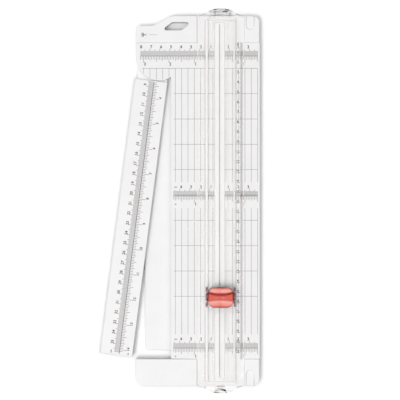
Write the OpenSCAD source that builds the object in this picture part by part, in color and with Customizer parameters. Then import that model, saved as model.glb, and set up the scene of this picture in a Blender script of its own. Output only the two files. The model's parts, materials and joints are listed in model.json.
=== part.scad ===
// Rotary paper trimmer: a flat base with a swing-out ruler arm, a hinged clear rail over the cut
// line, and a sprung cutter head with a round blade that slides along the rail.
// X = 0 is the cut line, Y = 0 the middle of the base, and Z = 0 the surface that it stands on.

/* [Base] */
// Length of the base along the cut
base_length = 371; // [368:0.5:380]
// Length of the raised block at each end
end_block_length = 27; // [26:0.1:28]
// Cut line to the right edge of the platform
platform_right = 40.5; // [40:0.1:44]
// Cut line to the left edge of the platform
platform_left = 48.8; // [48:0.1:49]
// How far the end blocks stop short of the platform's right edge
end_block_inset = 0.7; // [0.3:0.1:1]
// Cut line to the left edge of the header
header_left = 83.4; // [83.3:0.1:84]
// Cut line to the left edge of the footer
footer_left = 84.2; // [83.3:0.1:86]
// Height of the cutting platform's top face
platform_top = 10; // [10:0.1:10.5]
// How far the end blocks stand above the platform
end_block_rise = 1.2; // [0.8:0.1:2]
// Wall and top thickness of the base shell
shell_wall = 2; // [1.8:0.1:2.2]
// Thickness of the stiffening ribs under the platform
rib_wall = 1.6; // [1.2:0.1:2]
// Height of the rubber feet
foot_height = 1.2; // [1:0.1:1.2]
// Thickness of the bottom cover
cover_thickness = 2; // [1.8:0.1:2]

/* [Ruler arm] */
// Cut line to the arm's pivot
pivot_left = 60.9; // [60.8:0.1:61]
// Middle of the base to the arm's pivot
pivot_back = 142.8; // [142.6:0.1:143]
// Radius of the lobe that covers the pivot
lobe_radius = 22.2; // [21.8:0.1:22.3]
// Angle that the arm stands open at rest
arm_rest_angle = 7.3; // [0:0.1:40]
// Pivot to the outer end of the arm
arm_reach = 300.3; // [280:0.1:300.5]
// Pivot to the arm's outer long edge
arm_outer = 22.3; // [20:0.1:22.3]
// Pivot to the arm's inner long edge
arm_inner = 11.8; // [10:0.1:11.8]
// Thickness of the arm
arm_thickness = 6.2; // [5.6:0.1:6.2]
// Thickness of the tongue that runs under the lobe
tongue_thickness = 3.8; // [3.2:0.1:3.8]

/* [Clear rail] */
// Cut line to the middle of the rail
rail_offset = 1; // [0.8:0.1:1.2]
// Width of the rail's floor
rail_width = 46.4; // [46:0.1:48]
// Gap for paper between the platform and the rail
paper_gap = 0.8; // [0.6:0.1:1]
// Thickness of the rail's floor
rail_floor = 1.4; // [1.2:0.1:1.4]
// Width of the blade's slot in the rail
slot_width = 2.4; // [1.6:0.1:2.6]
// Length of the blade's slot in the rail
slot_length = 353.6; // [340:0.2:354]
// Height of the rail's guide walls
guide_height = 6.7; // [6.7:0.1:7]
// How far the rounded lips stand past the ends of the base
lip_reach = 6.8; // [6:0.1:7]

/* [Cutter head] */
// Middle of the base to the cutter head at rest, towards the footer
head_rest = 96.1; // [0:0.1:160]
// Width of the cap across the cut
cap_width = 25.5; // [24:0.1:25.6]
// Length of the cap along the cut
cap_length = 20.8; // [20:0.1:21]
// How far the cap goes down when it is pressed
press_travel = 2.2; // [1.8:0.1:2.2]
// Radius of the round blade
blade_radius = 6.4; // [6.3:0.1:6.5]
// Radius of the blade's axle
axle_radius = 1.5; // [1.2:0.1:1.5]

/* [Hidden] */
$fn = 64;
SHAFT_FIT = 0.05;
LOOSE_GAP = 0.4;

half_length = base_length / 2;
block_edge = half_length - end_block_length;
cover_bottom = foot_height;
cover_top = cover_bottom + cover_thickness;
block_top = platform_top + end_block_rise;
block_right = platform_right - end_block_inset;
ceiling = platform_top - shell_wall;
pivot = [-pivot_left, pivot_back];
pivot_post_radius = 4;
arm_bottom = cover_top + LOOSE_GAP;
arm_step = lobe_radius + LOOSE_GAP;
arm_wall = 2;
pocket_back = 166.6;
shelf_left = 75;
shelf_front = -150;
scoop_left = -33;
scoop_right = -14.6;
scoop_back = -30;
scoop_front = -87;
scoop_slope = 3;
scoop_depth = 0.6;

strip_width = 9.4;
strip_thickness = 1.75;
strip_length = 357;
groove_gap = 0.05;

rail_bottom = platform_top + paper_gap;
rail_top = rail_bottom + rail_floor;
guide_top = rail_top + guide_height;
guide_outer = 16;
guide_web = 0.7;
guide_lip = 2.7;
guide_length = 364;
hinge_y = half_length + 2.1;
hinge_z = 6.6;
hinge_pin_radius = 1;
knuckle_radius = 1.8;
knuckle_half = 5.1;
ear_width = 4.2;

screw_hole_radius = 1.25;
cover_screw_spots = [
    [-36, 100], [31, 100], [-36, 0], [31, 0], [-36, -100], [31, -100], [31, 164], [-66, -172],
    [31, -165], [-35, 165]
];
foot_spots = [[-40, 150], [32, 150], [0, 0], [32, -150], [-40, -128], [-72, -172], [-66, 130]];
foot_radius = 5;

head = [rail_offset, -head_rest];
frame_bottom = rail_top + 0.9;
frame_top = frame_bottom + 1.5;
cap_bottom = frame_top + press_travel + 0.3;
valley_top = 26.2;
ridge_top = 28.2;
cap_wall = 1.6;
corner_notch = 1.6;
cap_ceiling = valley_top - 1.3;
blade_centre = 18.15;
blade_thickness = 0.3;
runner_inner = 13.5;
runner_outer = 15;
spring_reach = 7;
spring_wire = 0.35;

// Outline through points [x, y, corner radius], each corner drawn as an arc.
function unit(v) = v / norm(v);
function turned(a, b) = a + (b > 180 ? b - 360 : b < -180 ? b + 360 : b);
function corner_arc(before, at, after, r, steps = 8) =
    let (
        u = unit(before - at),
        v = unit(after - at),
        half = acos(u * v) / 2,
        middle = at + unit(u + v) * r / sin(half),
        first = at + u * r / tan(half) - middle,
        last = at + v * r / tan(half) - middle,
        a0 = atan2(first[1], first[0]),
        a1 = turned(a0, atan2(last[1], last[0]) - a0)
    )
    [for (i = [0 : steps]) middle + r * [cos(a0 + (a1 - a0) * i / steps), sin(a0 + (a1 - a0) * i / steps)]];
function flat(p) = [p[0], p[1]];
function rounded(points) = [
    for (i = [0 : len(points) - 1])
        let (n = len(points), p = points[i])
        for (q = p[2] > 0
            ? corner_arc(flat(points[(i + n - 1) % n]), flat(p), flat(points[(i + 1) % n]), p[2])
            : [flat(p)]) q
];

module rounded_box_2d(width, length, radius) {
    polygon(rounded([for (c = [[-1, -1], [1, -1], [1, 1], [-1, 1]]) [c[0] * width / 2, c[1] * length / 2, radius]]));
}

module slab(x0, x1, y0, y1, z0, z1) {
    translate([x0, y0, z0]) cube([x1 - x0, y1 - y0, z1 - z0]);
}

module along_x(x0, x1, y, z, r) {
    translate([x0, y, z]) rotate([0, 90, 0]) cylinder(r = r, h = x1 - x0);
}

// Box about the Z axis with a square notch out of each upright corner.
module notched(half_x, half_y, notch, z0, z1) {
    slab(-half_x, half_x, -half_y + notch, half_y - notch, z0, z1);
    slab(-half_x + notch, half_x - notch, -half_y, half_y, z0, z1);
}

module upright(spot, z0, z1, r) {
    translate([spot[0], spot[1], z0]) cylinder(r = r, h = z1 - z0);
}

// Gives each of its flat children the same thickness.
module plates(thickness) {
    for (i = [0 : $children - 1]) linear_extrude(thickness) children(i);
}

// ---- Base ----

module header_2d(overlap = 0) {
    polygon(rounded([
        [-header_left, block_edge - overlap, 0], [-header_left, half_length - 9.8, 2.5],
        [-66.2, half_length - 9.8, 10], [-48.1, half_length, 10],
        [block_right, half_length, 6.5], [block_right, block_edge - overlap, 0]
    ]));
}

module footer_2d(overlap = 0) {
    polygon(rounded([
        [-footer_left, -block_edge, 0.6], [-platform_left, -block_edge, 0],
        [-platform_left, -block_edge + overlap, 0], [block_right, -block_edge + overlap, 0],
        [block_right, -half_length, 6.5], [-footer_left, -half_length, 8.5]
    ]));
}

module lobe_2d() {
    translate(pivot) circle(r = lobe_radius, $fn = 96);
    translate([-pivot_left, pivot_back - lobe_radius + 3.5]) square([20, lobe_radius]);
    translate([-header_left, pivot_back]) square([header_left - platform_left + 1, block_edge - pivot_back]);
}

module platform_2d() {
    translate([-platform_left, -block_edge]) square([platform_left + platform_right, 2 * block_edge]);
}

// Slot to hold or hang the trimmer by, a leaning window with rounded corners.
module hand_slot_2d(grow = 0) {
    polygon(rounded([
        [-58.2 - 2.2 * grow, 171.1 - grow, 1.6 + grow], [-38.1 + 0.6 * grow, 171.1 - grow, 4 + grow],
        [-28.6 + 2.2 * grow, 179.1 + grow, 1.6 + grow], [-47.6 - 0.6 * grow, 179.1 + grow, 4 + grow]
    ]));
}

// U-shaped recess beside the rail, open to the end of the base.
module end_recess_2d() {
    radius = 3.75;
    translate([30.35, 0]) circle(r = radius);
    translate([30.35 - radius, 0]) square([2 * radius, 20]);
}

// One sloping side of the finger scoop: all that lies on the low side of a line through a point.
module scoop_side(at, turn) {
    translate([at[0], at[1], platform_top]) rotate(turn) rotate([90, 0, 0])
    linear_extrude(400, center = true)
    polygon([[0, 0], [scoop_slope, -scoop_depth], [200, -scoop_depth], [200, 5], [0, 5]]);
}

// Shallow scoop beside the rail, to get a finger under its edge.
module finger_scoop() {
    intersection() {
        slab(-50, scoop_right, -200, 200, 0, 20);
        scoop_side([scoop_left, scoop_back], 0);
        scoop_side([scoop_left, scoop_back], -37);
        scoop_side([scoop_left, scoop_front], 41);
    }
}

module hollow_cells() {
    column_x = [[-platform_left + shell_wall, -26.8], [-26.8 + rib_wall, -6.5],
        [6.5, 23], [23 + rib_wall, block_right - shell_wall]];
    rows = 6;
    row_pitch = (2 * block_edge - rib_wall) / rows;
    for (row = [0 : rows - 1], x = column_x)
        let (y0 = -block_edge + rib_wall + row * row_pitch)
        slab(x[0], x[1], y0, y0 + row_pitch - rib_wall, 0, ceiling);
    for (x = column_x) {
        slab(x[0], x[1], block_edge + rib_wall, half_length - shell_wall, 0, ceiling);
        slab(x[0], x[1], -half_length + shell_wall, -block_edge - rib_wall, 0, ceiling);
    }
    slab(-footer_left + 2 * shell_wall, -platform_left, -half_length + 4, -block_edge - rib_wall, 0, ceiling);
    slab(-5, 5, -block_edge + 4, block_edge - 4, 0, ceiling - 2.2);
}

module base_shell() {
    recess_y = half_length - 9.7;
    color([0.95, 0.95, 0.955])
    difference() {
        union() {
            difference() {
                union() {
                    translate([0, 0, cover_top]) plates(platform_top - cover_top) {
                        platform_2d();
                        lobe_2d();
                    }
                    translate([0, 0, cover_top]) plates(block_top - cover_top) {
                        header_2d();
                        footer_2d();
                    }
                }
                difference() {
                    hollow_cells();
                    translate([0, 0, cover_top]) linear_extrude(platform_top) hand_slot_2d(1.6);
                }
                // Pocket that the arm's tongue turns in.
                slab(-header_left - 1, -platform_left, 100, pocket_back, 0, arm_bottom + tongue_thickness + LOOSE_GAP);
            }
            upright(pivot, cover_top, platform_top, pivot_post_radius);
            for (spot = cover_screw_spots) upright(spot, cover_top, platform_top, 3);
            // Ears of the rail's hinge, on the header's end face.
            for (side = [-1, 1])
                let (x0 = rail_offset + side * (knuckle_half + 0.4 + ear_width / 2) - ear_width / 2) {
                    slab(x0, x0 + ear_width, half_length - 1, hinge_y, 4.2, 9);
                    along_x(x0, x0 + ear_width, hinge_y, hinge_z, 2.4);
                }
            // Stop that the rail's front tab drops over.
            slab(rail_offset - 4, rail_offset + 4, -half_length - 1.2, -half_length + 1, 4.2, 8.5);
        }
        translate([0, 0, -1]) linear_extrude(20) hand_slot_2d();
        // Seat of the rail across both end blocks.
        slab(rail_offset - rail_width / 2 - 0.5, rail_offset + rail_width / 2 + 0.5, -200, 200, platform_top, 20);
        finger_scoop();
        // Groove of the cutting strip.
        slab(-strip_width / 2 - groove_gap, strip_width / 2 + groove_gap, -strip_length / 2 - groove_gap,
            strip_length / 2 + groove_gap, platform_top - strip_thickness - groove_gap, 20);
        for (side = [-1, 1])
            scale([1, side, 1])
            translate([0, recess_y - (side < 0 ? 2 : 0), platform_top]) linear_extrude(5) end_recess_2d();
        upright(pivot, 0, platform_top - 1.6, screw_hole_radius);
        for (spot = cover_screw_spots) upright(spot, 0, platform_top - 1.6, screw_hole_radius);
        for (side = [-1, 1])
            along_x(rail_offset - 12, rail_offset + 12, hinge_y, hinge_z, hinge_pin_radius);
    }
}

module bottom_cover() {
    color([0.94, 0.94, 0.945])
    difference() {
        translate([0, 0, cover_bottom]) plates(cover_thickness) {
            platform_2d();
            lobe_2d();
            header_2d(1);
            footer_2d(1);
            // Shelf that the folded arm lies over.
            polygon(rounded([
                [-shelf_left, pivot_back, 0], [-shelf_left, shelf_front, 3],
                [-platform_left + 1, shelf_front, 0], [-platform_left + 1, pivot_back, 0]
            ]));
        }
        translate([0, 0, -1]) linear_extrude(20) hand_slot_2d();
        for (spot = concat(cover_screw_spots, [pivot])) {
            upright(spot, 0, 10, 1.35);
            upright(spot, 0, cover_bottom + 1, 2.7);
        }
    }
}

module cutting_strip() {
    strip_top = platform_top - 0.05;
    color([0.98, 0.98, 0.98])
    difference() {
        slab(-strip_width / 2, strip_width / 2, -strip_length / 2, strip_length / 2,
            platform_top - strip_thickness, strip_top);
        slab(-0.5, 0.5, -slot_length / 2, slot_length / 2, strip_top - 0.7, 20);
    }
}

module rubber_feet() {
    color([0.2, 0.2, 0.21])
    for (spot = foot_spots) upright(spot, 0, foot_height, foot_radius);
}

module screw(spot, tip) {
    upright(spot, cover_bottom + 0.1, cover_bottom + 1, 2.6);
    upright(spot, cover_bottom + 0.5, tip, 1.2);
}

module cover_screws() {
    color([0.6, 0.6, 0.62])
    for (spot = cover_screw_spots) screw(spot, ceiling);
}

module pivot_screw() {
    color([0.6, 0.6, 0.62]) screw(pivot, ceiling);
}

module friction_washer() {
    color([0.85, 0.85, 0.82])
    difference() {
        upright(pivot, cover_top, cover_top + 0.8, 8);
        upright(pivot, 0, 10, pivot_post_radius);
    }
}

module rail_hinge_pin() {
    pin_half = knuckle_half + 0.4 + ear_width;
    color([0.7, 0.7, 0.72])
    along_x(rail_offset - pin_half, rail_offset + pin_half, hinge_y, hinge_z, hinge_pin_radius);
}

// ---- Ruler arm, drawn folded with its pivot at the origin, then turned to its rest angle ----

module arm_plate() {
    top = arm_bottom + arm_thickness;
    plate_length = arm_reach - arm_step;
    cells = 6;
    pitch = (plate_length - arm_wall) / cells;
    difference() {
        intersection() {
            translate([0, -arm_step, 0]) rotate([90, 0, 0]) linear_extrude(plate_length) polygon([
                [-arm_outer, arm_bottom], [arm_inner, arm_bottom], [arm_inner, top - 0.8],
                [arm_inner - 0.8, top], [-arm_outer + 1.7, top], [-arm_outer, top - 2.6]
            ]);
            linear_extrude(30) polygon(rounded([
                [-arm_outer, -arm_step, 1.2], [-arm_outer, -arm_reach, 1.2],
                [arm_inner, -arm_reach, 1.2], [arm_inner, -arm_step, 0.8]
            ]));
        }
        for (cell = [0 : cells - 1])
            let (y1 = -arm_step - arm_wall - cell * pitch)
            slab(-arm_outer + 2.4, arm_inner - arm_wall, y1 - pitch + rib_wall, y1, 0, top - arm_wall);
    }
}

module arm_tongue() {
    // The tongue's outer edge, and how far it runs into the plate's end wall.
    left = 19;
    root = arm_step + 1;
    foot = -arm_outer + 1.3;
    translate([0, 0, arm_bottom]) linear_extrude(tongue_thickness) polygon(rounded([
        [foot, -root, 0], [arm_inner - 0.8, -root, 0], [arm_inner - 0.8, arm_inner - 1, arm_inner - 2],
        [-left, arm_inner - 1, 8], [-left, -arm_step, 1.5], [foot, -arm_step, 0]
    ]));
}

module ruler_arm() {
    color([0.95, 0.95, 0.955])
    translate(pivot) rotate(-arm_rest_angle)
    difference() {
        union() {
            arm_plate();
            arm_tongue();
        }
        upright([0, 0], 0, 30, pivot_post_radius + SHAFT_FIT);
        upright([0, 0], 0, cover_top + 1, 8.5);
    }
}

// ---- Clear rail ----

// Edge of the rounded lip at each end, flat in its middle and flowing into the base's end.
function ease(t) = t * t * (3 - 2 * t);
function lip_edge(x) = lip_reach * (1 - ease(max(0, min(1, (abs(x) - 4) / (rail_width / 2 - 4)))));
module lip_2d(inset = 0) {
    half = rail_width / 2 - inset;
    polygon(concat(
        [[-half, -1.5]],
        [for (i = [-12 : 12]) let (x = half * i / 12) [x, lip_edge(x * (half + inset) / half) - inset]],
        [[half, -1.5]]
    ));
}

module rail_end() {
    translate([0, half_length, rail_bottom]) {
        linear_extrude(rail_floor) lip_2d();
        linear_extrude(3) difference() {
            lip_2d();
            lip_2d(1.3);
        }
        for (x = [-10, -6, 1.7, 8]) slab(x - 0.5, x + 0.5, -1.5, lip_edge(x) - 0.6, 0.7, 2.8);
    }
    slab(-guide_outer + 0.1, guide_outer - 0.1, guide_length / 2 - 1.5, guide_length / 2, rail_bottom + 0.7, rail_top + 2.6);
    // Pads that hold the paper gap open.
    for (side = [-1, 1]) slab(side * 19 - 2, side * 19 + 2, half_length - 12, half_length - 6, platform_top + 0.3, rail_top - 0.7);
}

module guide_wall() {
    slab(guide_outer - guide_web, guide_outer, -guide_length / 2, guide_length / 2, rail_top - 0.7, guide_top);
    slab(guide_outer - guide_lip, guide_outer, -guide_length / 2, guide_length / 2, guide_top - 1, guide_top);
    slab(7.3, 8.1, -guide_length / 2 + 1, guide_length / 2 - 1, rail_top - 0.7, rail_top + 0.6);
}

module guard_rail() {
    color([0.86, 0.9, 0.92, 0.4])
    difference() {
        union() {
            translate([rail_offset, 0, 0]) {
                slab(-rail_width / 2, rail_width / 2, -half_length + 0.8, half_length - 0.8, rail_bottom, rail_top);
                guide_wall();
                mirror([1, 0, 0]) guide_wall();
                rail_end();
                mirror([0, 1, 0]) rail_end();
                // Hinge knuckle under the header's lip.
                slab(-knuckle_half, knuckle_half, hinge_y - 1.4, hinge_y + knuckle_radius, hinge_z, rail_bottom + 0.5);
                along_x(-knuckle_half, knuckle_half, hinge_y, hinge_z, knuckle_radius);
                // Tab that drops over the footer's end face.
                slab(-3.8, 3.8, -half_length - 3.3, -half_length - 1.6, 4, rail_bottom + 0.5);
            }
        }
        slab(-slot_width / 2, slot_width / 2, -slot_length / 2, slot_length / 2, 0, 20);
        along_x(-20, 20, hinge_y, hinge_z, hinge_pin_radius + SHAFT_FIT);
    }
}

// ---- Cutter head, drawn about its own middle, then moved to its rest place ----

tub_x = cap_width / 2 - cap_wall - 0.4;
tub_y = cap_length / 2 - cap_wall - 0.4;
tub_top = cap_ceiling - press_travel - 0.6;
tub_wall = 1.2;

module carriage_frame() {
    color([0.86, 0.3, 0.25])
    translate([head[0], head[1], 0])
    difference() {
        union() {
            translate([0, 0, frame_bottom]) linear_extrude(frame_top - frame_bottom)
                rounded_box_2d(cap_width - 0.5, cap_length - 1.2, 5.8);
            for (y = [-2.5, 2.5]) slab(-runner_inner, runner_inner, y - 1, y + 1, frame_bottom, frame_top);
            notched(tub_x, tub_y, corner_notch, frame_top - 0.5, tub_top);
            for (x = [-1, 1]) upright([x * spring_reach, 0], frame_bottom, frame_top + 2.5, 1.1);
        }
        difference() {
            notched(tub_x - tub_wall, tub_y - tub_wall, corner_notch, frame_top, 40);
            for (x = [-1, 1]) upright([x * spring_reach, 0], frame_bottom, frame_top + 2.5, 1.1);
        }
        // Well for the blade and its holder.
        slab(-head[0] - 4.4, -head[0] + 4.4, -6.8, 6.8, 0, frame_top + 1);
        slab(-head[0] - 1.2, -head[0] + 1.2, -tub_y - 1, tub_y + 1, frame_top, 40);
        // Windows that the cap's catches move in.
        slab(-30, 30, -3, 3, frame_top + 0.6, frame_top + 4.8);
    }
}

module runner() {
    difference() {
        slab(runner_inner, runner_outer, -9.7, 9.7, rail_top + 0.3, guide_top - 1.4);
        for (gap = [[4.4, 5.4], [-5.2, -3.6]])
            slab(runner_inner + 0.4, 20, gap[0], gap[1], 0, 40);
    }
}

module left_runner() {
    color([0.42, 0.14, 0.16])
    translate([head[0], head[1], 0]) mirror([1, 0, 0]) runner();
}

module right_runner() {
    color([0.42, 0.14, 0.16])
    translate([head[0], head[1], 0]) runner();
}

module grip_cap() {
    ridge_y = cap_length / 2 - 4.2;
    color([0.92, 0.42, 0.37])
    translate([head[0], head[1], 0])
    difference() {
        union() {
            translate([0, 0, cap_bottom]) linear_extrude(valley_top - cap_bottom) rounded_box_2d(cap_width, cap_length, 6);
            // Two raised finger ridges with the valley between them.
            for (side = [-1, 1])
                along_x(-cap_width / 2 + 4, cap_width / 2 - 4, side * ridge_y, ridge_top - 3.4, 3.4);
            for (side = [-1, 1], end = [-1, 1])
                translate([end * (cap_width / 2 - 4), side * ridge_y, ridge_top - 3.4]) sphere(r = 3.4, $fn = 48);
        }
        difference() {
            // Notched corners leave the cap's wall whole behind its round outside.
            notched(cap_width / 2 - cap_wall, cap_length / 2 - cap_wall, corner_notch, 0, cap_ceiling);
            for (side = [-1, 1])
                slab(side * (cap_width / 2 - 1.9) - 0.5, side * (cap_width / 2 - 1.9) + 0.5, -2.5, 2.5,
                    cap_bottom + 0.8, cap_bottom + 1.8);
        }
    }
}

module blade_holder_half() {
    difference() {
        slab(blade_thickness / 2 + 0.25, 3.4, -5.6, 5.6, 15, cap_ceiling);
        along_x(-5, 5, 0, blade_centre, axle_radius);
    }
}

module blade_holder_left() {
    color([0.9, 0.9, 0.9])
    translate([0, head[1], 0]) mirror([1, 0, 0]) blade_holder_half();
}

module blade_holder_right() {
    color([0.9, 0.9, 0.9])
    translate([0, head[1], 0]) blade_holder_half();
}

module blade_axle() {
    color([0.72, 0.72, 0.74])
    translate([0, head[1], 0]) {
        along_x(-3.4, 3.4, 0, blade_centre, axle_radius);
        along_x(-4, -3.4, 0, blade_centre, axle_radius + 0.7);
        along_x(3.4, 4, 0, blade_centre, axle_radius + 0.7);
    }
}

module axle_washers() {
    color([0.8, 0.76, 0.6])
    for (side = [-1, 1])
        translate([0, head[1], 0])
        difference() {
            along_x(side * 0.3 - 0.1, side * 0.3 + 0.1, 0, blade_centre, 3);
            along_x(-1, 1, 0, blade_centre, axle_radius);
        }
}

// Coil spring round a point, its wire swept along a helix.
module coil_spring(spot, z0, z1, coil_radius, wire, turns) {
    ring_steps = 14;
    sides = 6;
    rings = turns * ring_steps;
    function wire_point(ring, side) =
        let (a = 360 * ring / ring_steps, b = 360 * side / sides, r = coil_radius + wire * cos(b))
        [spot[0] + r * cos(a), spot[1] + r * sin(a), z0 + wire + (z1 - z0 - 2 * wire) * ring / rings + wire * sin(b)];
    points = [for (ring = [0 : rings], side = [0 : sides - 1]) wire_point(ring, side)];
    walls = [for (ring = [0 : rings - 1], side = [0 : sides - 1])
        let (a = ring * sides + side, b = ring * sides + (side + 1) % sides)
        each [[a, a + sides, b], [b, a + sides, b + sides]]];
    ends = [[for (side = [0 : sides - 1]) side], [for (side = [sides - 1 : -1 : 0]) rings * sides + side]];
    polyhedron(points, concat(walls, ends));
}

module press_springs() {
    color([0.7, 0.7, 0.72])
    for (side = [-1, 1])
        coil_spring([head[0] + side * spring_reach, head[1]], frame_top, cap_ceiling, 1.55, spring_wire, 5);
}

module rotary_blade() {
    color([0.78, 0.79, 0.8])
    translate([0, head[1], blade_centre]) rotate([0, 90, 0])
    difference() {
        union() {
            translate([0, 0, -blade_thickness / 2]) cylinder(r = blade_radius - 0.5, h = blade_thickness);
            translate([0, 0, -blade_thickness / 2]) cylinder(r1 = blade_radius - 0.5, r2 = blade_radius, h = blade_thickness / 2);
            cylinder(r1 = blade_radius, r2 = blade_radius - 0.5, h = blade_thickness / 2);
        }
        translate([0, 0, -1]) cylinder(r = axle_radius + SHAFT_FIT, h = 2);
    }
}

base_shell();
bottom_cover();
cutting_strip();
rubber_feet();
cover_screws();
pivot_screw();
friction_washer();
rail_hinge_pin();
ruler_arm();
guard_rail();
carriage_frame();
left_runner();
right_runner();
grip_cap();
blade_holder_left();
blade_holder_right();
blade_axle();
axle_washers();
press_springs();
rotary_blade();
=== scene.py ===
"""Looks of the rotary paper trimmer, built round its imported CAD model.

Lengths in this script are millimetres in the model's own frame, and MM turns them into metres.
X is 0 at the cut line, Y is 0 in the middle of the base, and Z is 0 on the table.
"""

import json
import math

import bmesh
import bpy
from mathutils import Matrix, Vector


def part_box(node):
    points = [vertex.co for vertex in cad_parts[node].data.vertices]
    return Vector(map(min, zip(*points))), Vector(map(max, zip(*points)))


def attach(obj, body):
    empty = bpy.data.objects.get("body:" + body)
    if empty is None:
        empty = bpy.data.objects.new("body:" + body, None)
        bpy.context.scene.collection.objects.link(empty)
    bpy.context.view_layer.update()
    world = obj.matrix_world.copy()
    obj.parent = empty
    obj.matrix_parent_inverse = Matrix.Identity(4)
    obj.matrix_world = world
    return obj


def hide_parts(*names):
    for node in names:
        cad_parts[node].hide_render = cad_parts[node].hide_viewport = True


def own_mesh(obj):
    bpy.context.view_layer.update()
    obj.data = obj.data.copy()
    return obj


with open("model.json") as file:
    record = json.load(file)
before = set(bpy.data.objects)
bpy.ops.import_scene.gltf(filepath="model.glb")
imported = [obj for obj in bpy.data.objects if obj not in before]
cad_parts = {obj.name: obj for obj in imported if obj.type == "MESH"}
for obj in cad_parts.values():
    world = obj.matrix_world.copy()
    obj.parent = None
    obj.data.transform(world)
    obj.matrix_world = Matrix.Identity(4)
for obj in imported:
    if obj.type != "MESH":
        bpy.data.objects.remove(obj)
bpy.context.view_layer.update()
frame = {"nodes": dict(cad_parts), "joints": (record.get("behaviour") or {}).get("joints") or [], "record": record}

MM = 0.001
INCH = 25.4
JOINTS = {joint["name"]: joint for joint in frame["joints"]}


def in_mm(point):
    return Vector(point) / MM


def low(node):
    return in_mm(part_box(node)[0])


def high(node):
    return in_mm(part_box(node)[1])


# Places that the rest of the script works from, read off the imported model.
STRIP_HIGH = high("cutting_strip")
PLATFORM_TOP = STRIP_HIGH.z + 0.05
PLATFORM_RIGHT = 40.5
PIVOT = in_mm(JOINTS["arm_swing"]["pos_m"])
LOBE_RADIUS = 22.2
ARM_TOP = high("ruler_arm").z
ARM_REST_ANGLE = -math.radians(JOINTS["arm_swing"]["range_deg"][0])
SHELF_TOP = high("friction_washer").z - 0.8

# The scoop beside the rail, as the base is moulded: its outline, the turn of each of its sides, and its slope.
SCOOP_LEFT, SCOOP_RIGHT = -33.0, -14.6
SCOOP_BACK, SCOOP_FRONT = -30.0, -87.0
SCOOP_SIDES = ((SCOOP_BACK, 0), (SCOOP_BACK, -37), (SCOOP_FRONT, 41))
SCOOP_SLOPE, SCOOP_DEPTH = 3.0, 0.6

# ---- Materials ----

# How much of the plastic's brightness its low faces keep under the painted shade.
PAINTED_SHADE_SHARE = 0.975


class Nodes:
    """A material's node tree with its Principled shader, and short ways to add to it."""

    def __init__(self, name):
        self.material = bpy.data.materials.new(name)
        self.material.use_nodes = True
        self.tree = self.material.node_tree
        self.shader = self.tree.nodes["Principled BSDF"]
        self.output = self.tree.nodes["Material Output"]

    def add(self, kind, **settings):
        node = self.tree.nodes.new(kind)
        for key, value in settings.items():
            setattr(node, key, value)
        return node

    def link(self, source, target):
        self.tree.links.new(source, target)

    def place(self, scale=(1, 1, 1)):
        """The piece's own coordinates, stretched by scale."""
        coordinates = self.add("ShaderNodeTexCoord")
        mapping = self.add("ShaderNodeMapping")
        mapping.inputs["Scale"].default_value = scale
        self.link(coordinates.outputs["Object"], mapping.inputs["Vector"])
        return mapping.outputs["Vector"]

    def noise(self, scale, detail=3.0, stretch=(1, 1, 1)):
        texture = self.add("ShaderNodeTexNoise")
        texture.inputs["Scale"].default_value = scale
        texture.inputs["Detail"].default_value = detail
        self.link(self.place(stretch), texture.inputs["Vector"])
        return texture.outputs["Fac"]

    def ramp(self, value, dark, light, start=0.3, end=0.7):
        """Runs from one colour to another as value goes from start to end."""
        ramp = self.add("ShaderNodeValToRGB")
        ends = ramp.color_ramp.elements
        ends[0].position, ends[0].color = start, (*dark, 1)
        ends[1].position, ends[1].color = end, (*light, 1)
        self.link(value, ramp.inputs["Fac"])
        return ramp.outputs["Color"]

    def spread(self, value, least, most):
        """Value stretched so that 0.3 to 0.7 becomes least to most."""
        stretch = self.add("ShaderNodeMapRange")
        stretch.inputs["From Min"].default_value = 0.3
        stretch.inputs["From Max"].default_value = 0.7
        stretch.inputs["To Min"].default_value = least
        stretch.inputs["To Max"].default_value = most
        self.link(value, stretch.inputs["Value"])
        return stretch.outputs["Result"]

    def lies_at(self, height, level, give):
        """1 where the surface is within give of a level, else 0."""
        test = self.add("ShaderNodeMath", operation="COMPARE")
        test.inputs[1].default_value = level * MM
        test.inputs[2].default_value = give * MM
        self.link(height, test.inputs[0])
        return test.outputs["Value"]

    def join(self, first, second, operation):
        both = self.add("ShaderNodeMath", operation=operation)
        self.link(first, both.inputs[0])
        self.link(second, both.inputs[1])
        return both.outputs["Value"]

    def etched(self, colour):
        """The colour with painted shade: a little darker on the low faces, the platform, the scoop sunk into it, and
        the shelf.
        """
        split = self.add("ShaderNodeSeparateXYZ")
        self.link(self.place(), split.inputs["Vector"])
        # Painted shade: the platform, the scoop and the shelf are darkened in the colour.
        beside = self.add("ShaderNodeMath", operation="GREATER_THAN")
        beside.inputs[1].default_value = (SCOOP_LEFT - 5) * MM
        self.link(split.outputs["X"], beside.inputs[0])
        sunk = self.lies_at(split.outputs["Z"], PLATFORM_TOP - 0.4, 0.38)
        etched = self.join(sunk, beside.outputs["Value"], "MULTIPLY")
        for level in (PLATFORM_TOP, SHELF_TOP):
            etched = self.join(etched, self.lies_at(split.outputs["Z"], level, 0.05), "MAXIMUM")
        tint = self.ramp(etched, (1, 1, 1), (PAINTED_SHADE_SHARE, PAINTED_SHADE_SHARE, PAINTED_SHADE_SHARE), 0, 1)
        both = self.add("ShaderNodeMix", data_type="RGBA", blend_type="MULTIPLY")
        both.inputs["Factor"].default_value = 1.0
        self.link(colour, both.inputs[6])
        self.link(tint, both.inputs[7])
        return both.outputs[2]

    def bump(self, height, depth, strength=1.0):
        bump = self.add("ShaderNodeBump")
        bump.inputs["Strength"].default_value = strength
        bump.inputs["Distance"].default_value = depth * MM
        self.link(height, bump.inputs["Height"])
        self.link(bump.outputs["Normal"], self.shader.inputs["Normal"])

    def set(self, **values):
        for name, value in values.items():
            self.shader.inputs[name.replace("_", " ")].default_value = value


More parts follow.
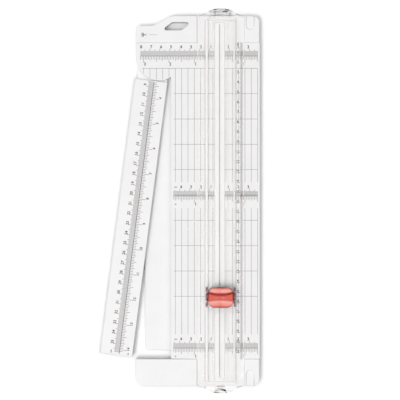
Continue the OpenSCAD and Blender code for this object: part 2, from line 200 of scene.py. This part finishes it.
def moulded_plastic(name, dark, light, rough, texture_size=0.35, texture_depth=0.006, etched=False):
    """Moulded plastic: a faint mottle in its colour, uneven gloss, and the fine spark texture of its mould.

    The shells' low cutting faces can carry painted shade, and so be a little darker than the raised ones.
    """
    nodes = Nodes(name)
    mottle = nodes.noise(60, 4)
    colour = nodes.ramp(mottle, dark, light)
    if etched:
        colour = nodes.etched(colour)
    nodes.link(colour, nodes.shader.inputs["Base Color"])
    wear = nodes.noise(240, 2)
    nodes.link(nodes.spread(wear, rough - 0.05, rough + 0.05), nodes.shader.inputs["Roughness"])
    nodes.bump(nodes.noise(1 / (texture_size * MM), 2), texture_depth)
    nodes.set(IOR=1.5)
    return nodes.material


def clear_plastic():
    """Polished clear plastic. Lamps and bounced light pass straight through it, and the eye sees it bend."""
    nodes = Nodes("clear_plastic")
    scuffs = nodes.noise(500, 3, (1, 0.06, 1))
    nodes.link(nodes.spread(scuffs, 0.015, 0.06), nodes.shader.inputs["Roughness"])
    nodes.set(Base_Color=(0.985, 0.975, 0.97, 1), Transmission_Weight=1.0, IOR=1.49)
    path = nodes.add("ShaderNodeLightPath")
    either = nodes.add("ShaderNodeMath", operation="MAXIMUM")
    nodes.link(path.outputs["Is Shadow Ray"], either.inputs[0])
    nodes.link(path.outputs["Is Diffuse Ray"], either.inputs[1])
    straight = nodes.add("ShaderNodeBsdfTransparent")
    straight.inputs["Color"].default_value = (0.97, 0.97, 0.97, 1)
    mix = nodes.add("ShaderNodeMixShader")
    nodes.link(either.outputs["Value"], mix.inputs["Fac"])
    nodes.link(nodes.shader.outputs["BSDF"], mix.inputs[1])
    nodes.link(straight.outputs["BSDF"], mix.inputs[2])
    nodes.link(mix.outputs["Shader"], nodes.output.inputs["Surface"])
    return nodes.material


def two_tone_coral():
    """Coral plastic with painted light: paler on the high finger pads as a painted sheen, and deep red down in the
    creases as painted shade.
    """
    nodes = Nodes("coral_plastic")
    split = nodes.add("ShaderNodeSeparateXYZ")
    nodes.link(nodes.place(), split.inputs["Vector"])
    height = nodes.add("ShaderNodeMapRange")
    height.inputs["From Min"].default_value = 25.0 * MM
    height.inputs["From Max"].default_value = 28.2 * MM
    nodes.link(split.outputs["Z"], height.inputs["Value"])
    # Painted light by height: deep red painted shade low in the crease, pale painted sheen on the high pads.
    colour = nodes.add("ShaderNodeValToRGB")
    sheen_and_shade_stops = colour.color_ramp.elements
    sheen_and_shade_stops[0].position, sheen_and_shade_stops[0].color = 0.0, (0.1, 0.002, 0.002, 1)
    sheen_and_shade_stops[1].position, sheen_and_shade_stops[1].color = 1.0, (0.85, 0.35, 0.31, 1)
    for position, tone in (
        (0.16, (0.46, 0.035, 0.022)), (0.33, (0.65, 0.1, 0.07)), (0.8, (0.8, 0.27, 0.23)),
    ):
        stop = sheen_and_shade_stops.new(position)
        stop.color = (*tone, 1)
    nodes.link(height.outputs["Result"], colour.inputs["Fac"])
    nodes.link(colour.outputs["Color"], nodes.shader.inputs["Base Color"])
    grain = nodes.noise(300, 3)
    nodes.link(nodes.spread(grain, 0.24, 0.34), nodes.shader.inputs["Roughness"])
    nodes.bump(nodes.noise(1500, 2), 0.004)
    nodes.set(IOR=1.5, Specular_IOR_Level=0.3, Coat_Weight=0.12, Coat_Roughness=0.1)
    return nodes.material


def brushed_metal(name, tone, rough, stretch):
    """Plated or ground steel with fine lines along one axis."""
    nodes = Nodes(name)
    lines = nodes.noise(900, 3, stretch)
    shade = [channel * 0.8 for channel in tone]
    nodes.link(nodes.ramp(lines, shade, tone), nodes.shader.inputs["Base Color"])
    nodes.link(nodes.spread(lines, rough - 0.06, rough + 0.08), nodes.shader.inputs["Roughness"])
    nodes.bump(lines, 0.004, 0.5)
    nodes.set(Metallic=1.0)
    return nodes.material


def rubber():
    nodes = Nodes("foot_rubber")
    grain = nodes.noise(2500, 3)
    nodes.link(nodes.ramp(grain, (0.03, 0.03, 0.032), (0.055, 0.055, 0.058)), nodes.shader.inputs["Base Color"])
    nodes.link(nodes.spread(grain, 0.7, 0.85), nodes.shader.inputs["Roughness"])
    nodes.bump(grain, 0.02)
    return nodes.material


def ink():
    """Screen-printed ink, a little thin in places."""
    nodes = Nodes("scale_print")
    cover = nodes.noise(1500, 3)
    nodes.link(nodes.ramp(cover, (0.05, 0.036, 0.036), (0.09, 0.066, 0.066)), nodes.shader.inputs["Base Color"])
    nodes.link(nodes.spread(cover, 0.4, 0.55), nodes.shader.inputs["Roughness"])
    return nodes.material


MATERIALS = {
    # The white plastic carries painted shade on its low faces.
    "white_plastic": moulded_plastic(
        "white_plastic", (0.775, 0.768, 0.77), (0.8, 0.795, 0.797), 0.4, etched=True,
    ),
    "strip_plastic": moulded_plastic("strip_plastic", (0.8, 0.8, 0.8), (0.83, 0.83, 0.83), 0.5),
    "clear_plastic": clear_plastic(),
    "coral_plastic": two_tone_coral(),
    "maroon_plastic": moulded_plastic(
        "maroon_plastic", (0.12, 0.01, 0.014), (0.15, 0.014, 0.018), 0.35, texture_size=0.4, texture_depth=0.004,
    ),
    "nylon": moulded_plastic("nylon", (0.72, 0.7, 0.63), (0.78, 0.76, 0.7), 0.5),
    "foot_rubber": rubber(),
    "steel": brushed_metal("steel", (0.55, 0.55, 0.56), 0.3, (0.1, 1, 1)),
    "blade_steel": brushed_metal("blade_steel", (0.66, 0.67, 0.68), 0.22, (1, 1, 0.1)),
    "scale_print": ink(),
    # Painted shade for the bottom of the strip's groove: a dark brown.
    "groove_shade_paint": moulded_plastic("groove_shade_paint", (0.2, 0.12, 0.08), (0.32, 0.2, 0.13), 0.6),
}


def coat(piece, slot):
    piece.data.materials.clear()
    piece.data.materials.append(MATERIALS[slot])


def coat_cad_nodes():
    for part in frame["record"]["subparts"]:
        coat(frame["nodes"][part["node"]], part["material_slot"])


# ---- Softened edges of the moulded shells ----


def sharp_edges_above(level, angle):
    """A modifier's node group that marks the sharp edges higher than level for the bevel that comes after it."""
    group = bpy.data.node_groups.new("sharp_edges", "GeometryNodeTree")
    group.interface.new_socket("Geometry", in_out="INPUT", socket_type="NodeSocketGeometry")
    group.interface.new_socket("Geometry", in_out="OUTPUT", socket_type="NodeSocketGeometry")
    start = group.nodes.new("NodeGroupInput")
    end = group.nodes.new("NodeGroupOutput")
    fold = group.nodes.new("GeometryNodeInputMeshEdgeAngle")
    place = group.nodes.new("GeometryNodeInputPosition")
    split = group.nodes.new("ShaderNodeSeparateXYZ")
    sharp = group.nodes.new("FunctionNodeCompare")
    sharp.inputs["B"].default_value = math.radians(angle)
    high_up = group.nodes.new("FunctionNodeCompare")
    high_up.inputs["B"].default_value = level * MM
    both = group.nodes.new("FunctionNodeBooleanMath")
    store = group.nodes.new("GeometryNodeStoreNamedAttribute")
    store.data_type = "FLOAT"
    store.domain = "EDGE"
    store.inputs["Name"].default_value = "bevel_weight_edge"
    store.inputs["Value"].default_value = 1.0
    for source, target in (
        (fold.outputs["Unsigned Angle"], sharp.inputs["A"]),
        (place.outputs["Position"], split.inputs["Vector"]),
        (split.outputs["Z"], high_up.inputs["A"]),
        (sharp.outputs["Result"], both.inputs[0]),
        (high_up.outputs["Result"], both.inputs[1]),
        (both.outputs["Boolean"], store.inputs["Selection"]),
        (start.outputs["Geometry"], store.inputs["Geometry"]),
        (store.outputs["Geometry"], end.inputs["Geometry"]),
    ):
        group.links.new(source, target)
    return group


def soften(node, width, level, angle=50, join=True):
    """Rounds the sharp edges of a CAD node that lie above a level, with modifiers only."""
    piece = frame["nodes"][node]
    weld = piece.modifiers.new("weld", "WELD")
    weld.merge_threshold = 0.002 * MM
    if join:
        flat = piece.modifiers.new("flat", "DECIMATE")
        flat.decimate_type = "DISSOLVE"
        flat.angle_limit = math.radians(0.5)
    pick = piece.modifiers.new("pick", "NODES")
    pick.node_group = sharp_edges_above(level, angle)
    edges = piece.modifiers.new("edges", "BEVEL")
    edges.width = width * MM
    edges.segments = 3
    edges.limit_method = "WEIGHT"
    edges.use_clamp_overlap = False
    edges.miter_outer = "MITER_ARC"
    edges.harden_normals = False
    even = piece.modifiers.new("even", "WEIGHTED_NORMAL")
    even.keep_sharp = False


# ---- Pieces made here ----


def make_piece(name, mesh, slot, body, smooth_angle=None):
    """A new piece from a bmesh in millimetres, riding on a body."""
    bmesh.ops.recalc_face_normals(mesh, faces=mesh.faces)
    bmesh.ops.scale(mesh, vec=(MM, MM, MM), verts=mesh.verts)
    data = bpy.data.meshes.new(name)
    mesh.to_mesh(data)
    mesh.free()
    if smooth_angle is not None:
        data.shade_smooth()
        data.set_sharp_from_angle(angle=math.radians(smooth_angle))
    piece = bpy.data.objects.new(name, data)
    bpy.context.scene.collection.objects.link(piece)
    coat(piece, slot)
    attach(piece, body)
    return piece


# ---- Printed scales and lines ----

# How far the ink reaches under and over the face that it is printed on.
INK_BELOW = 0.02
INK_ABOVE = 0.03
# Widths of the grid's lines and of the scales' ticks.
FINE_LINE = 0.28
TICK = 0.36
# Height of a numeral as a share of the font's size.
CAP_HEIGHT_SHARE = 0.69
# The prints stop here, beside the cutting strip.
STRIP_EDGE = STRIP_HIGH.x + 0.4


def scoop_depth(x, y):
    """How far the scoop's surface lies under the platform at a point."""
    if x > SCOOP_RIGHT:
        return 0.0
    nearest = SCOOP_SLOPE
    for corner_y, turn in SCOOP_SIDES:
        way = math.radians(turn)
        inside = (x - SCOOP_LEFT) * math.cos(way) + (y - corner_y) * math.sin(way)
        nearest = min(nearest, inside)
    return SCOOP_DEPTH * max(0.0, nearest) / SCOOP_SLOPE


class Print:
    """Ink marks that make one piece: thin closed plates that stand just proud of the plastic under them."""

    def __init__(self, top, place=None, drape=None):
        self.mesh = bmesh.new()
        self.top = top
        self.place = place or Matrix.Identity(4)
        self.drape = drape or (lambda x, y: 0.0)

    def bar(self, x0, x1, y0, y1, step=None):
        """A rectangle of ink, in steps along its long side where the surface under it isn't flat."""
        along_x = abs(x1 - x0) > abs(y1 - y0)
        length = abs(x1 - x0) if along_x else abs(y1 - y0)
        steps = max(1, math.ceil(length / step)) if step else 1
        rings = []
        for i in range(steps + 1):
            share = i / steps
            if along_x:
                x = x0 + (x1 - x0) * share
                ends = ((x, y0), (x, y1))
            else:
                y = y0 + (y1 - y0) * share
                ends = ((x0, y), (x1, y))
            ring = []
            for (x, y), lift in (
                (ends[0], -INK_BELOW), (ends[1], -INK_BELOW), (ends[1], INK_ABOVE), (ends[0], INK_ABOVE),
            ):
                ring.append(self.mesh.verts.new((x, y, self.top - self.drape(x, y) + lift)))
            rings.append(ring)
        for near, far in zip(rings, rings[1:]):
            for i in range(4):
                j = (i + 1) % 4
                self.mesh.faces.new((near[i], near[j], far[j], far[i]))
        self.mesh.faces.new(rings[0])
        self.mesh.faces.new(rings[-1])

    def words(self, text, x, y, height, turn=0):
        """Upright lettering centred on a point, turned anticlockwise by degrees."""
        curve = bpy.data.curves.new("words", "FONT")
        curve.body = text
        curve.size = height / CAP_HEIGHT_SHARE
        curve.align_x = "CENTER"
        curve.align_y = "CENTER"
        curve.resolution_u = 3
        curve.offset = 0.042 * height
        curve.extrude = (INK_BELOW + INK_ABOVE) / 2
        holder = bpy.data.objects.new("words", curve)
        bpy.context.scene.collection.objects.link(holder)
        bpy.context.view_layer.update()
        letters = bpy.data.meshes.new_from_object(holder)
        middle = self.top + (INK_ABOVE - INK_BELOW) / 2
        spot = Matrix.Translation((x, y, middle)) @ Matrix.Rotation(math.radians(turn), 4, "Z")
        letters.transform(spot)
        self.mesh.from_mesh(letters)
        bpy.data.objects.remove(holder)
        bpy.data.curves.remove(curve)
        bpy.data.meshes.remove(letters)

    def finish(self, name, body, slot="scale_print"):
        bmesh.ops.remove_doubles(self.mesh, verts=self.mesh.verts, dist=0.0005)
        bmesh.ops.transform(self.mesh, matrix=self.place, verts=self.mesh.verts)
        return make_piece(name, self.mesh, slot, body)


# Height of a numeral, length of a plain centimetre tick, and how far the numerals stand off the base line.
CM_DIGIT = 2.9
BAND = 5.1
CM_ROW = BAND + 3.9
INCH_ROW = 8.2


def across_scale(sheet, base_line, left, right, cm_left, inch_left, units=True):
    """Centimetres above a line and inches under it, both counted from the cut line, clear of the cutting strip."""
    for x0, x1 in ((left, -STRIP_EDGE), (STRIP_EDGE, right)):
        sheet.bar(x0, x1, base_line - 0.2, base_line + 0.2)
    for side, reach in ((-1, -left), (1, right)):
        for mm in range(math.ceil(STRIP_EDGE), int(reach) + 1):
            extra = 0 if mm % 5 else 1.2 if mm % 10 else 2.2
            sheet.bar(side * mm - TICK / 2, side * mm + TICK / 2, base_line, base_line + BAND + extra)
        for sixteenth in range(math.ceil(STRIP_EDGE / INCH * 16), int(reach / INCH * 16) + 1):
            long_side = 3.6 + 1.0 * (sixteenth % 4 == 0) + 1.2 * (sixteenth % 8 == 0) + 1.2 * (sixteenth % 16 == 0)
            x = side * sixteenth * INCH / 16
            sheet.bar(x - TICK / 2, x + TICK / 2, base_line - long_side, base_line)
    for cm in range(1, cm_left + 1):
        sheet.words(str(cm), -cm * 10 + 1.3, base_line + CM_ROW, CM_DIGIT)
    for cm in (1, 2, 3):
        sheet.words(str(cm), cm * 10 - 1.3, base_line + CM_ROW, CM_DIGIT)
    for inches in range(1, inch_left + 1):
        sheet.words(str(inches), -inches * INCH + 1.3, base_line - INCH_ROW, CM_DIGIT)
    sheet.words("1", INCH - 1.3, base_line - INCH_ROW, CM_DIGIT)
    if units:
        sheet.words("cm", left + 2.2, base_line + CM_ROW, 1.6)
        sheet.words("in", left + 2.0, base_line - INCH_ROW, 1.6)


def print_across_scales():
    for name, line, left, cm_left, inch_left in (
        ("header_scale", 145.3, -79.5, 8, 3),
        ("middle_scale", 4.9, -46.2, 4, 1),
        ("footer_scale", -147.6, -46.2, 4, 1),
    ):
        sheet = Print(PLATFORM_TOP)
        across_scale(sheet, line, left, 38.2, cm_left, inch_left, units=left > -60)
        sheet.finish(name, "base")


GRID_STEP = INCH / 4
GRID_ROWS = ((18.7, 132.9), (-133.8, -7.3))


def print_cut_grid():
    """Quarter-inch lines beside the cut and one-inch lines across it."""
    sheet = Print(PLATFORM_TOP, drape=scoop_depth)
    for k in range(1, 8):
        for side in (-1, 1):
            x = side * k * GRID_STEP
            if x > PLATFORM_RIGHT - 2:
                continue
            for y0, y1 in GRID_ROWS:
                over_scoop = side < 0 and y1 < 0
                sheet.bar(x - FINE_LINE / 2, x + FINE_LINE / 2, y0, y1, step=2 if over_scoop else None)
    top = GRID_ROWS[0][1]
    for k in range(8, 13):
        x = -k * GRID_STEP
        half = math.sqrt(max(0.0, LOBE_RADIUS ** 2 - (x - PIVOT.x) ** 2))
        if half > 4:
            sheet.bar(x - FINE_LINE / 2, x + FINE_LINE / 2, PIVOT.y - half + 1.0, top)
    for row in range(10):
        y = top - row * INCH
        left = -77.7 if row == 0 else -46.0
        for x0, x1 in ((left, -STRIP_EDGE), (STRIP_EDGE, 38.0)):
            over_scoop = x0 < 0 and y < 0
            sheet.bar(x0, x1, y - FINE_LINE / 2, y + FINE_LINE / 2, step=1.5 if over_scoop else None)
    sheet.finish("cut_grid", "base")


def print_length_scale():
    """Centimetres down the length of the cut, counted from the header's edge."""
    sheet = Print(PLATFORM_TOP)
    zero = 158.5
    line = 22.5
    sheet.bar(line - 0.2, line + 0.2, zero - 317, zero)
    for mm in range(0, 318):
        y = zero - mm
        length = 1.9 if mm % 5 else 2.4 if mm % 10 else 3.0
        sheet.bar(line - length, line, y - TICK / 2, y + TICK / 2)
    for cm in range(0, 32):
        turn = 90 if cm > 9 else 0
        sheet.words(str(cm), 18.3, zero - cm * 10 + (-1.3 if cm == 0 else 0.6), 2.7, turn)
    sheet.finish("length_scale", "base")


def arm_place():
    """From the folded arm's own frame, with the pivot at its origin, to where the arm stands."""
    return Matrix.Translation((PIVOT.x, PIVOT.y, 0)) @ Matrix.Rotation(-ARM_REST_ANGLE, 4, "Z")


def print_arm_scale():
    """The arm's two scales, which carry on from the header's."""
    sheet = Print(ARM_TOP, place=arm_place())
    line = -1.9
    start, end = 24.0, 299.0
    from_cut = -PIVOT.x
    sheet.bar(line - 0.25, line + 0.25, -end, -start)
    for mm in range(math.ceil(start + from_cut), int(end + from_cut)):
        y = from_cut - mm
        extra = 0 if mm % 5 else 1.2 if mm % 10 else 2.2
        sheet.bar(line - BAND - extra, line, y - TICK / 2, y + TICK / 2)
    for sixteenth in range(math.ceil((start + from_cut) / INCH * 16), int((end + from_cut) / INCH * 16)):
        y = from_cut - sixteenth * INCH / 16
        reach = 3.2 + 1.2 * (sixteenth % 4 == 0) + 1.2 * (sixteenth % 8 == 0) + 1.4 * (sixteenth % 16 == 0)
        sheet.bar(line, line + reach, y - TICK / 2, y + TICK / 2)
    for cm in range(9, 36):
        sheet.words(str(cm), -10.2, from_cut - cm * 10 + 1.6, 2.7, 90)
    for inches in range(4, 15):
        sheet.words(str(inches), 6.6, from_cut - inches * INCH + 1.4, 2.6, 90)
    sheet.words("cm", -10.4, from_cut - 358, 1.8, 90)
    sheet.words("in", 6.9, from_cut - 358.6, 1.8, 90)
    sheet.finish("arm_scale", "ruler_arm")


def print_cut_sign():
    """A plain sign for cutting: a pair of scissors on a dashed line."""
    sheet = Print(high("base_shell").z)
    middle = Vector((-75.2, 166.5))
    for turn in (-24, 24):
        way = math.radians(turn)
        ahead = Vector((math.cos(way), math.sin(way)))
        aside = Vector((-ahead.y, ahead.x))
        near, far = middle - ahead * 1.2, middle + ahead * 3.6
        plate = [near + aside * 0.3, near - aside * 0.3, far]
        prism(sheet, plate)
        ring(sheet, middle - ahead * 2.2, 1.15, 0.6)
    for dash in range(4):
        x = -70.6 + dash * 2.2
        sheet.bar(x, x + 1.3, 166.3, 166.7)
    sheet.finish("cut_sign", "base")


def prism(sheet, outline):
    """A flat shape of ink with a straight-sided outline."""
    lower = [sheet.mesh.verts.new((p.x, p.y, sheet.top - INK_BELOW)) for p in outline]
    upper = [sheet.mesh.verts.new((p.x, p.y, sheet.top + INK_ABOVE)) for p in outline]
    sheet.mesh.faces.new(lower[::-1])
    sheet.mesh.faces.new(upper)
    for i in range(len(outline)):
        j = (i + 1) % len(outline)
        sheet.mesh.faces.new((lower[i], lower[j], upper[j], upper[i]))


def ring(sheet, centre, outer, inner, sides=20):
    """A flat ring of ink."""
    loops = []
    for radius, lift in ((outer, -INK_BELOW), (outer, INK_ABOVE), (inner, INK_ABOVE), (inner, -INK_BELOW)):
        loop = []
        for i in range(sides):
            angle = math.tau * i / sides
            x = centre.x + radius * math.cos(angle)
            y = centre.y + radius * math.sin(angle)
            loop.append(sheet.mesh.verts.new((x, y, sheet.top + lift)))
        loops.append(loop)
    for a, b in zip(loops, loops[1:] + loops[:1]):
        for i in range(sides):
            j = (i + 1) % sides
            sheet.mesh.faces.new((a[i], a[j], b[j], b[i]))


# ---- Grip cap of the cutter head ----

# Height of the cap down its length: from the footer's side, over both finger pads, to the header's side.
CAP_PROFILE = (
    (-10.4, 24.3), (-9.6, 25.9), (-8.0, 27.1), (-5.6, 27.8), (-3.5, 28.15), (-2.6, 27.7), (-1.7, 26.6), (-0.8, 26.1),
    (1.0, 25.9), (2.6, 25.9), (3.9, 26.7), (5.0, 27.8), (6.7, 28.15), (8.5, 27.8), (9.7, 26.6), (10.4, 24.6),
)


def between(points, at):
    """A smooth curve through points, without overshoot: the height at one place."""
    if at <= points[0][0]:
        return points[0][1]
    for i in range(len(points) - 1):
        (x0, z0), (x1, z1) = points[i], points[i + 1]
        if at <= x1:
            slopes = []
            for j in (i, i + 1):
                if j in (0, len(points) - 1):
                    slopes.append(0.0)
                else:
                    before = (points[j][1] - points[j - 1][1]) / (points[j][0] - points[j - 1][0])
                    after = (points[j + 1][1] - points[j][1]) / (points[j + 1][0] - points[j][0])
                    slopes.append(0.0 if before * after <= 0 else 2 * before * after / (before + after))
            t = (at - x0) / (x1 - x0)
            step = x1 - x0
            return (
                (2 * t ** 3 - 3 * t ** 2 + 1) * z0 + (t ** 3 - 2 * t ** 2 + t) * step * slopes[0]
                + (3 * t ** 2 - 2 * t ** 3) * z1 + (t ** 3 - t ** 2) * step * slopes[1]
            )
    return points[-1][1]


def print_cut_line():
    """A dark brown line at the bottom of the strip's groove: painted shade."""
    groove_depth, half_width, half_length = 0.7, 0.22, 176.6
    sheet = Print(STRIP_HIGH.z - groove_depth)
    # Painted shade: a dark strip laid in the groove's bottom.
    sheet.bar(-half_width, half_width, -half_length, half_length)
    line = sheet.finish("cut_line", "base", "strip_plastic")
    line.data.materials[0] = MATERIALS["groove_shade_paint"]


def lay_glide_tapes():
    """White strips on the rail's floor, under its lips where the head's runners slide: a painted highlight along the
    lips.
    """
    floor_top, half_length = 12.2, 181.5
    # Painted highlight: white strips that stand for the light caught along the rail's lips.
    for name, x0, x1 in (("left_lip_highlight", -14.2, -11.7), ("right_lip_highlight", 13.9, 15.6)):
        sheet = Print(floor_top)
        sheet.bar(x0, x1, -half_length, half_length)
        sheet.finish(name, "guard_rail", "strip_plastic")


def build_grip_cap():
    """The finger cap, as a hollow shell with two pads, a valley and a groove."""
    cad_low, cad_high = low("grip_cap"), high("grip_cap")
    middle = (cad_low + cad_high) / 2
    half_x = (cad_high.x - cad_low.x) / 2
    half_y = (cad_high.y - cad_low.y) / 2
    corner = 7.4
    edge = 1.9
    ceiling = 24.9
    groove_reach, groove_floor = 1.1, 25.2
    core_x, core_y = half_x - corner, half_y - corner

    def half_width(y):
        past = abs(y) - core_y
        return half_x if past <= 0 else core_x + math.sqrt(max(0.0, corner ** 2 - past ** 2))

    def to_edge(x, y):
        """Distance from a point inside the outline to it."""
        over_x, over_y = abs(x) - core_x, abs(y) - core_y
        outside = math.hypot(max(over_x, 0), max(over_y, 0))
        return corner - outside - min(max(over_x, over_y), 0)

    def top(x, y):
        """Height of the cap: the profile bent towards the header at the sides, a dip in the middle of each pad,
        two pips in the valley, the narrow groove, and the rounded edge."""
        bend = 1.5 * (abs(x) / 11) ** 3
        groove = 3.0 + bend
        z = between(CAP_PROFILE, y - bend * max(-0.8, min(1.0, y / 3)))
        z -= 0.35 * math.exp(-(x / 2.4) ** 2) * min(1.0, (y / 4) ** 2)
        for side in (-1, 1):
            z += 1.1 * math.exp(-((x - side * 3.6) / 1.5) ** 2 - ((y - 0.3) / 0.8) ** 2)
        cut = abs(y - groove) / groove_reach
        if cut < 1:
            z -= (z - groove_floor) * (1 - cut ** 4)
        fall = max(0.0, 1 - to_edge(x, y) / edge)
        return z - (1 - math.sqrt(max(0.0, 1 - fall ** 2))) * edge

    mesh = bmesh.new()
    rows, columns = 96, 72
    grid = []
    for row in range(rows + 1):
        y = half_y * math.sin(math.pi * (row / rows - 0.5)) * 0.25 + half_y * (2 * row / rows - 1) * 0.75
        width = half_width(y)
        line = []
        for column in range(columns + 1):
            share = 2 * column / columns - 1
            x = width * (0.3 * math.sin(math.pi / 2 * share) + 0.7 * share)
            line.append(mesh.verts.new((middle.x + x, middle.y + y, top(x, y))))
        grid.append(line)
    for row in range(rows):
        for column in range(columns):
            a, b = grid[row], grid[row + 1]
            mesh.faces.new((a[column], a[column + 1], b[column + 1], b[column]))
    rim = grid[0][:-1] + [line[-1] for line in grid[:-1]] + grid[-1][:0:-1] + [line[0] for line in grid[:0:-1]]

    def lower_loop(z, inset, radius):
        """The outline again at height z, moved in by inset, with its own corner radius."""
        loop = []
        for vertex in rim:
            x, y = vertex.co.x - middle.x, vertex.co.y - middle.y
            near_x = max(-(half_x - inset - radius), min(half_x - inset - radius, x))
            near_y = max(-(half_y - inset - radius), min(half_y - inset - radius, y))
            way = Vector((x - near_x, y - near_y)).normalized()
            loop.append(mesh.verts.new((middle.x + near_x + way.x * radius, middle.y + near_y + way.y * radius, z)))
        return loop

    loops = [rim]
    for z, inset, radius in (
        (22.0, 0.0, corner), (cad_low.z + 0.25, 0.1, corner - 0.1), (cad_low.z, 0.35, corner - 0.35),
        (cad_low.z, 1.5, 3.1), (cad_low.z + 0.2, 1.6, 3.0), (ceiling, 1.6, 3.0),
    ):
        loops.append(lower_loop(z, inset, radius))
    for upper, under in zip(loops, loops[1:]):
        for i in range(len(rim)):
            j = (i + 1) % len(rim)
            mesh.faces.new((upper[i], upper[j], under[j], under[i]))
    mesh.faces.new(loops[-1])
    cap = make_piece("finger_cap", mesh, "coral_plastic", "press_head", 40)
    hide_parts("grip_cap")


def coil(mesh, centre, z0, z1, radius, wire, turns):
    """A round wire wound up a helix, with its ends closed."""
    ring_steps, sides = 24, 8
    loops = []
    for ring in range(turns * ring_steps + 1):
        angle = math.tau * ring / ring_steps
        rise = z0 + wire + (z1 - z0 - 2 * wire) * ring / (turns * ring_steps)
        loop = []
        for side in range(sides):
            way = math.tau * side / sides
            reach = radius + wire * math.cos(way)
            spot = (centre.x + reach * math.cos(angle), centre.y + reach * math.sin(angle), rise + wire * math.sin(way))
            loop.append(mesh.verts.new(spot))
        loops.append(loop)
    for near, far in zip(loops, loops[1:]):
        for i in range(sides):
            j = (i + 1) % sides
            mesh.faces.new((near[i], far[i], far[j], near[j]))
    mesh.faces.new(loops[0])
    mesh.faces.new(loops[-1][::-1])


def build_press_springs():
    """The two springs under the cap, as steel coils that ride on the carriage."""
    lowest, highest = low("press_springs"), high("press_springs")
    middle = (lowest + highest) / 2
    radius, wire = 1.55, 0.35
    reach = (highest.x - lowest.x) / 2 - radius - wire
    mesh = bmesh.new()
    for side in (-1, 1):
        centre = Vector((middle.x + side * reach, middle.y, 0))
        coil(mesh, centre, lowest.z, highest.z, radius, wire, 5)
    springs = make_piece("cap_springs", mesh, "steel", "carriage", 60)
    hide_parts("press_springs")
    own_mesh(springs)


# ---- Stage, camera and light ----


# The camera looks straight down on this spot, from this far above the platform.
CAMERA_SPOT = (-19.7, 0.9)
CAMERA_HEIGHT = 1600.0


def make_camera():
    data = bpy.data.cameras.new("camera")
    data.sensor_width = 36.0
    data.lens = 143.6
    camera = bpy.data.objects.new("camera", data)
    x, y = CAMERA_SPOT
    camera.location = (x * MM, y * MM, CAMERA_HEIGHT * MM + PLATFORM_TOP * MM)
    bpy.context.scene.collection.objects.link(camera)
    bpy.context.scene.camera = camera


def make_floor():
    nodes = Nodes("floor")
    grain = nodes.noise(40, 3)
    nodes.link(nodes.ramp(grain, (0.93, 0.93, 0.93), (0.95, 0.95, 0.95)), nodes.shader.inputs["Base Color"])
    nodes.set(Roughness=0.6)
    mesh = bpy.data.meshes.new("floor")
    reach = 3.0
    corners = [(-reach, -reach, 0), (reach, -reach, 0), (reach, reach, 0), (-reach, reach, 0)]
    mesh.from_pydata(corners, [], [(0, 1, 2, 3)])
    mesh.materials.append(nodes.material)
    floor = bpy.data.objects.new("floor", mesh)
    bpy.context.scene.collection.objects.link(floor)


def make_sky():
    """Soft light from above and the left, dim near the horizon and towards the right."""
    world = bpy.data.worlds.new("studio")
    world.use_nodes = True
    tree = world.node_tree

    def brightness(source, start, least, end):
        """Runs from a least brightness at start to full at end."""
        ramp = tree.nodes.new("ShaderNodeValToRGB")
        ends = ramp.color_ramp.elements
        ends[0].position, ends[0].color = start, (least, least, least, 1)
        ends[1].position, ends[1].color = end, (1, 1, 1, 1)
        tree.links.new(source, ramp.inputs["Fac"])
        return ramp.outputs["Color"]

    coordinates = tree.nodes.new("ShaderNodeTexCoord")
    split = tree.nodes.new("ShaderNodeSeparateXYZ")
    tree.links.new(coordinates.outputs["Generated"], split.inputs["Vector"])
    leftness = tree.nodes.new("ShaderNodeMath")
    leftness.operation = "MULTIPLY_ADD"
    leftness.inputs[1].default_value = -0.5
    leftness.inputs[2].default_value = 0.5
    tree.links.new(split.outputs["X"], leftness.inputs[0])
    both = tree.nodes.new("ShaderNodeMix")
    both.data_type = "RGBA"
    both.blend_type = "MULTIPLY"
    both.inputs["Factor"].default_value = 1.0
    tree.links.new(brightness(split.outputs["Z"], 0.45, 0.08, 0.85), both.inputs[6])
    tree.links.new(brightness(leftness.outputs["Value"], 0.1, 0.42, 0.5), both.inputs[7])
    background = tree.nodes["Background"]
    background.inputs["Strength"].default_value = 1.6
    tree.links.new(both.outputs[2], background.inputs["Color"])
    bpy.context.scene.world = world


def make_lamp(name, place, size, power):
    data = bpy.data.lights.new(name, "AREA")
    data.shape = "DISK"
    data.size = size
    data.energy = power
    lamp = bpy.data.objects.new(name, data)
    lamp.location = place
    lamp.rotation_mode = "QUATERNION"
    lamp.rotation_quaternion = (-Vector(place)).to_track_quat("-Z", "Y")
    bpy.context.scene.collection.objects.link(lamp)


coat_cad_nodes()
soften("base_shell", 0.6, level=9.9)
soften("ruler_arm", 0.8, level=9.0)
soften("bottom_cover", 0.5, level=3.0)
soften("guard_rail", 0.3, level=11.6, join=False)
print_across_scales()
print_cut_grid()
print_length_scale()
print_arm_scale()
print_cut_sign()
print_cut_line()
lay_glide_tapes()
build_grip_cap()
build_press_springs()

make_floor()
make_sky()
make_lamp("key", (-2.7, -2.4, 9.0), 2.4, 262)
make_camera()
bpy.context.scene.view_settings.view_transform = "Standard"
